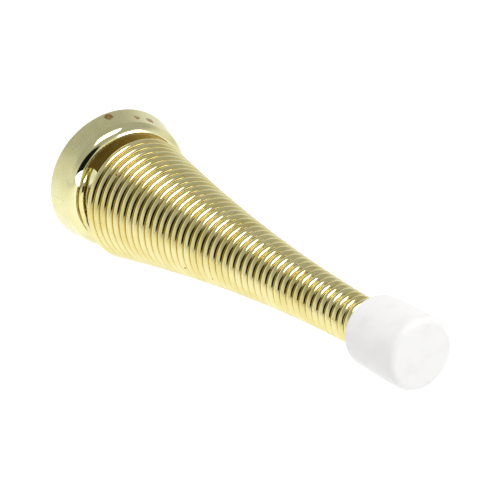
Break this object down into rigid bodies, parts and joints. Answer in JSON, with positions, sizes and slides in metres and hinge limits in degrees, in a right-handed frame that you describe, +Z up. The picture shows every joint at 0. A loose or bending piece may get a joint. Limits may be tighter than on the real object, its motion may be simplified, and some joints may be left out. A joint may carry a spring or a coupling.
{
  "type": "door stop",
  "caption": "Spring door stop: a round stamped wall base, a close-wound tapered wire spring that bends when struck, and a soft tip.",
  "frame": {"origin": "centre of the screw hole on the wall plane, at the back of the base", "axes": "-Y points out of the wall, +Z is up, +X is to the right as seen from the room"},
  "size_m": [0.0226, 0.0783, 0.0226],
  "materials": {
    "base_brass": "satin skirt with a polished crest, pale brass plate",
    "spring_brass": "bright pale brass plate",
    "tip_rubber": "matte off-white"
  },
  "bodies": {
    "base": {"base_cup": "base_brass", "spring_anchor": "spring_brass", "spring_coils_01": "spring_brass"},
    "coils_02": {"spring_coils_02": "spring_brass"},
    "coils_03": {"spring_coils_03": "spring_brass"},
    "coils_04": {"spring_coils_04": "spring_brass"},
    "coils_05": {"spring_coils_05": "spring_brass"},
    "coils_06": {"spring_coils_06": "spring_brass"},
    "coils_07": {"spring_coils_07": "spring_brass"},
    "coils_08": {"spring_coils_08": "spring_brass"},
    "coils_09": {"spring_coils_09": "spring_brass"},
    "coils_10": {"spring_coils_10": "spring_brass"},
    "coils_11": {"spring_coils_11": "spring_brass"},
    "coils_12": {"spring_coils_12": "spring_brass"},
    "coils_13": {"spring_coils_13": "spring_brass"},
    "coils_14": {"spring_coils_14": "spring_brass"},
    "coils_15": {"spring_coils_15": "spring_brass"},
    "coils_16": {"spring_coils_16": "spring_brass"},
    "coils_17": {"spring_coils_17": "spring_brass"},
    "coils_18": {"spring_coils_18": "spring_brass"},
    "tip": {"tip_cap": "tip_rubber"}
  },
  "joints": [
    {"name": "bend_right", "type": "hinge", "parent": "base", "child": "coils_02", "pos_m": [0.00852, -0.01036, -0.00002], "axis": [-0.0095, 0.0655, 0.9978], "range_deg": [0, 15], "stiffness_Nm_per_rad": 0.1, "springref_deg": -28.65},
    {"name": "bend_up", "type": "hinge", "parent": "coils_02", "child": "coils_03", "pos_m": [0.00016, -0.01341, 0.00823], "axis": [-0.995, -0.1, -0.0023], "range_deg": [0, 15], "stiffness_Nm_per_rad": 0.1, "springref_deg": -28.65},
    {"name": "bend_left", "type": "hinge", "parent": "coils_03", "child": "coils_04", "pos_m": [-0.00699, -0.01786, 0.00057], "axis": [0.0138, -0.1219, -0.9924], "range_deg": [0, 15], "stiffness_Nm_per_rad": 0.1, "springref_deg": -28.65},
    {"name": "bend_down", "type": "hinge", "parent": "coils_04", "child": "coils_05", "pos_m": [0.00071, -0.02114, -0.00604], "axis": [0.9992, 0.0395, 0.0081], "range_deg": [0, 15], "stiffness_Nm_per_rad": 0.1, "springref_deg": -28.65},
    {"name": "bend_right_2", "type": "hinge", "parent": "coils_05", "child": "coils_06", "pos_m": [0.00732, -0.02322, 0.00116], "axis": [-0.0093, 0.0568, 0.9983], "range_deg": [0, 11.31]},
    {"name": "bend_up_2", "type": "hinge", "parent": "coils_06", "child": "coils_07", "pos_m": [0.00108, -0.02631, 0.00742], "axis": [-0.994, -0.1095, -0.0017], "range_deg": [0, 11.25]},
    {"name": "bend_left_2", "type": "hinge", "parent": "coils_07", "child": "coils_08", "pos_m": [-0.00419, -0.03043, 0.00175], "axis": [0.0148, -0.1321, -0.9911], "range_deg": [0, 11.2]},
    {"name": "bend_down_2", "type": "hinge", "parent": "coils_08", "child": "coils_09", "pos_m": [0.00161, -0.03369, -0.00308], "axis": [0.9996, 0.0283, 0.0094], "range_deg": [0, 11.16]},
    {"name": "bend_right_3", "type": "hinge", "parent": "coils_09", "child": "coils_10", "pos_m": [0.00657, -0.03605, 0.00234], "axis": [-0.0085, 0.0447, 0.999], "range_deg": [0, 8.39]},
    {"name": "bend_up_3", "type": "hinge", "parent": "coils_10", "child": "coils_11", "pos_m": [0.002, -0.03916, 0.00705], "axis": [-0.9925, -0.1225, -0.0005], "range_deg": [0, 8.34]},
    {"name": "bend_left_3", "type": "hinge", "parent": "coils_11", "child": "coils_12", "pos_m": [-0.00185, -0.04304, 0.00293], "axis": [0.0156, -0.1461, -0.9891], "range_deg": [0, 8.31]},
    {"name": "bend_down_3", "type": "hinge", "parent": "coils_12", "child": "coils_13", "pos_m": [0.00251, -0.04628, -0.00059], "axis": [0.9999, 0.0134, 0.0103], "range_deg": [0, 8.31]},
    {"name": "bend_right_4", "type": "hinge", "parent": "coils_13", "child": "coils_14", "pos_m": [0.00629, -0.04885, 0.00353], "axis": [-0.0067, 0.0291, 0.9996], "range_deg": [0, 6.3]},
    {"name": "bend_up_4", "type": "hinge", "parent": "coils_14", "child": "coils_15", "pos_m": [0.00292, -0.05197, 0.00718], "axis": [-0.9904, -0.1383, 0.002], "range_deg": [0, 6.34]},
    {"name": "bend_left_4", "type": "hinge", "parent": "coils_15", "child": "coils_16", "pos_m": [-0.00001, -0.05569, 0.00412], "axis": [0.0153, -0.162, -0.9867], "range_deg": [0, 6.43]},
    {"name": "bend_down_4", "type": "hinge", "parent": "coils_16", "child": "coils_17", "pos_m": [0.00342, -0.05892, 0.00139], "axis": [0.9999, -0.0022, 0.0098], "range_deg": [0, 6.59]},
    {"name": "bend_right_5", "type": "hinge", "parent": "coils_17", "child": "coils_18", "pos_m": [0.00655, -0.0616, 0.00471], "axis": [-0.0032, 0.0153, 0.9999], "range_deg": [0, 5.15]},
    {"name": "tip_pull", "type": "slide", "parent": "coils_18", "child": "tip", "axis": [0.0712, -0.9932, 0.0924], "range_m": [0, 0.009]}
  ],
  "couplings": [
    {"joint": "bend_right_2", "follows": "bend_right", "ratio": 0.7532},
    {"joint": "bend_up_2", "follows": "bend_up", "ratio": 0.7493},
    {"joint": "bend_left_2", "follows": "bend_left", "ratio": 0.7458},
    {"joint": "bend_down_2", "follows": "bend_down", "ratio": 0.7431},
    {"joint": "bend_right_3", "follows": "bend_right", "ratio": 0.5584},
    {"joint": "bend_up_3", "follows": "bend_up", "ratio": 0.555},
    {"joint": "bend_left_3", "follows": "bend_left", "ratio": 0.5533},
    {"joint": "bend_down_3", "follows": "bend_down", "ratio": 0.5536},
    {"joint": "bend_right_4", "follows": "bend_right", "ratio": 0.4192},
    {"joint": "bend_up_4", "follows": "bend_up", "ratio": 0.4219},
    {"joint": "bend_left_4", "follows": "bend_left", "ratio": 0.428},
    {"joint": "bend_down_4", "follows": "bend_down", "ratio": 0.4385},
    {"joint": "bend_right_5", "follows": "bend_right", "ratio": 0.3426}
  ]
}
